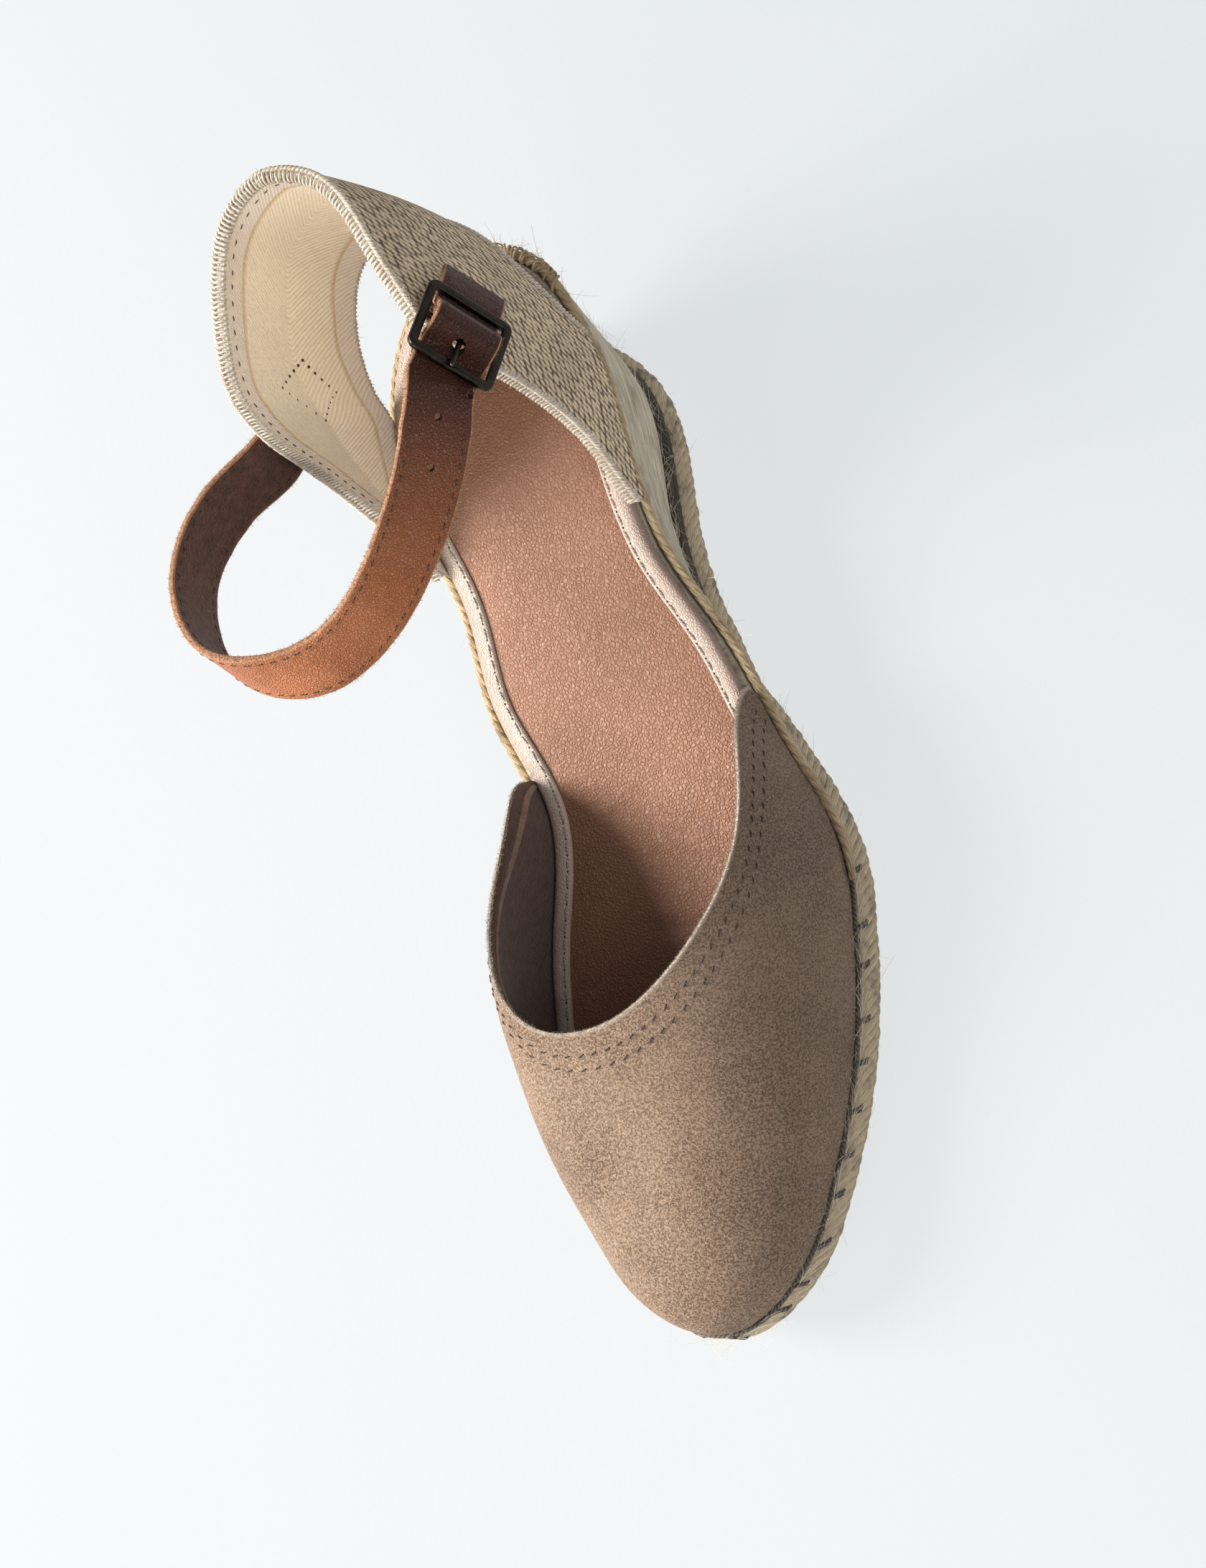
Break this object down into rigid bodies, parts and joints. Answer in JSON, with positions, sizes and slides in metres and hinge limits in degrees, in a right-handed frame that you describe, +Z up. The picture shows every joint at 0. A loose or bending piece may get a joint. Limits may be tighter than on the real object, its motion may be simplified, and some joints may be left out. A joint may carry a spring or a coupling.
{
  "type": "wedge espadrille, left shoe",
  "caption": "Left closed-toe wedge espadrille with jute sole, suede vamp, canvas heel band and a buckled leather ankle strap.",
  "frame": {"origin": "on the floor plane under the middle of the heel, 30 mm in front of the insole's back end, on the straight line from heel to toe", "axes": "+Z up from the floor, toe towards -Y, the wearer's outer side towards +X"},
  "size_m": [0.1005, 0.2555, 0.1203],
  "materials": {
    "jute_sole": "coarse matte jute",
    "jute_wedge": "coarse matte jute",
    "jute_cord": "twisted golden jute",
    "sock_leather": "smooth satin leather",
    "rand_leather": "pale matte leather",
    "suede": "brushed matte suede",
    "canvas": "heavy diagonal weave",
    "strap_leather": "oiled satin leather",
    "tab_leather": "oiled satin leather",
    "bronze_frame": "dark bronze, worn on its edges",
    "bronze_prong": "dark bronze, worn on its edges"
  },
  "bodies": {
    "root": {"outsole": "jute_sole", "wedge": "jute_wedge", "edge_cord": "jute_cord", "insole": "sock_leather", "insole_binding": "rand_leather", "vamp": "suede", "heel_band": "canvas", "ankle_strap": "strap_leather", "buckle_tab": "tab_leather", "buckle_frame": "bronze_frame", "buckle_prong": "bronze_prong"}
  },
  "joints": []
}
